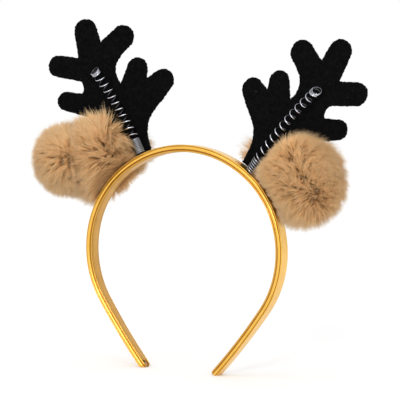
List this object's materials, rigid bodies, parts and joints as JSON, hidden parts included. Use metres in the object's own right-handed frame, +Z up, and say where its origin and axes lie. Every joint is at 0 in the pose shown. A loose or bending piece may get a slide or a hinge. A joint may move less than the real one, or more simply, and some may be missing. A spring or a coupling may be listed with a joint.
{
  "type": "antler headband",
  "caption": "Arched headband wrapped in gold satin, with black felt antlers on wire springs and tan fur balls at their feet.",
  "frame": {"origin": "middle of the part's bounding box on the floor that the two tips stand on; the arch is about 7 mm to -X of it", "axes": "+Z up, X from ear to ear, the wearer's face towards -Y"},
  "size_m": [0.2282, 0.0716, 0.2203],
  "materials": {
    "gold_satin": "satin",
    "gold_lining": "satin",
    "black_felt": "matte",
    "spring_wire": "polished",
    "tan_fur": "matte"
  },
  "bodies": {
    "root": {"band_wrap": "gold_satin", "band_lining": "gold_lining", "antler_left": "black_felt", "antler_right": "black_felt", "spring_left": "spring_wire", "spring_right": "spring_wire", "pompom_left_inner": "tan_fur", "pompom_left_outer": "tan_fur", "pompom_right_outer": "tan_fur", "pompom_right_inner": "tan_fur"}
  },
  "joints": []
}
